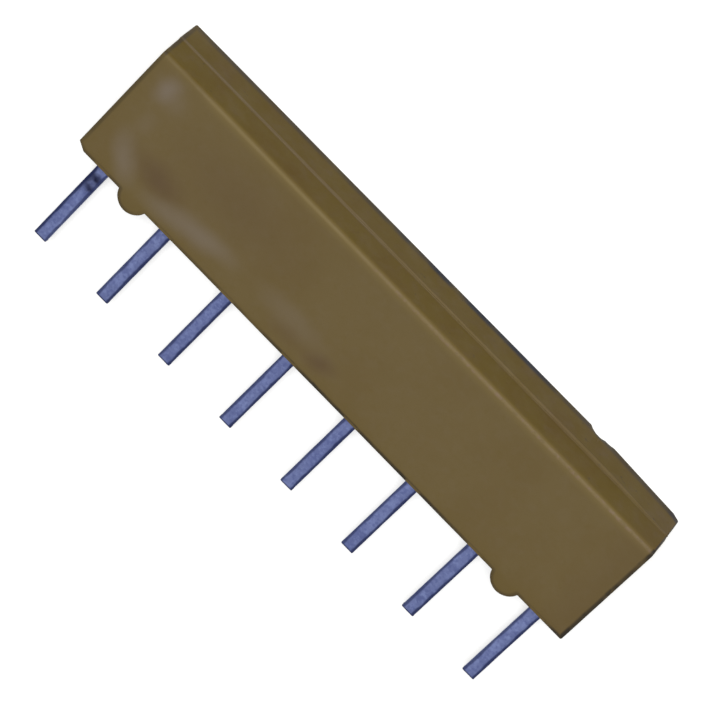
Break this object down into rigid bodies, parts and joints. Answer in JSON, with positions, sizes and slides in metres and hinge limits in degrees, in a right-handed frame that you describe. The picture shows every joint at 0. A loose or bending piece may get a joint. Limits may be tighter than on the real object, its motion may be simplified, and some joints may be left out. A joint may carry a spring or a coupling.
{
  "type": "resistor network",
  "caption": "Moulded single-in-line resistor network: slim flat-sided epoxy body with half-round standoffs and a row of flat tinned leads for a circuit board.",
  "frame": {"origin": "on the surface that the part lies on, under the middle of its bounding box", "axes": "+X along the body from the end with the first lead, +Y from the lead tips to the body's upper side, +Z out of the front face"},
  "size_m": [0.0198, 0.0082, 0.0024],
  "materials": {
    "moulded_epoxy": "olive tan moulding compound, satin, with a faint grain",
    "tinned_lead": "solder-dipped copper alloy, dull bluish grey",
    "solder": "bright solder",
    "alumina": "fired, matt white",
    "conductor_film": "fired silver alloy film, dull",
    "resistor_film": "fired oxide film, black",
    "glass_glaze": "green glass, glossy"
  },
  "bodies": {
    "root": {"housing": "moulded_epoxy", "lead_1": "tinned_lead", "lead_2": "tinned_lead", "lead_3": "tinned_lead", "lead_4": "tinned_lead", "lead_5": "tinned_lead", "lead_6": "tinned_lead", "lead_7": "tinned_lead", "lead_8": "tinned_lead", "solder_joint_1": "solder", "solder_joint_2": "solder", "solder_joint_3": "solder", "solder_joint_4": "solder", "solder_joint_5": "solder", "solder_joint_6": "solder", "solder_joint_7": "solder", "solder_joint_8": "solder", "ceramic_substrate": "alumina", "bus_conductor": "conductor_film", "pad_2": "conductor_film", "pad_3": "conductor_film", "pad_4": "conductor_film", "pad_5": "conductor_film", "pad_6": "conductor_film", "pad_7": "conductor_film", "pad_8": "conductor_film", "resistor_film_1": "resistor_film", "resistor_film_2": "resistor_film", "resistor_film_3": "resistor_film", "resistor_film_4": "resistor_film", "resistor_film_5": "resistor_film", "resistor_film_6": "resistor_film", "resistor_film_7": "resistor_film", "glass_overglaze": "glass_glaze"}
  },
  "joints": []
}
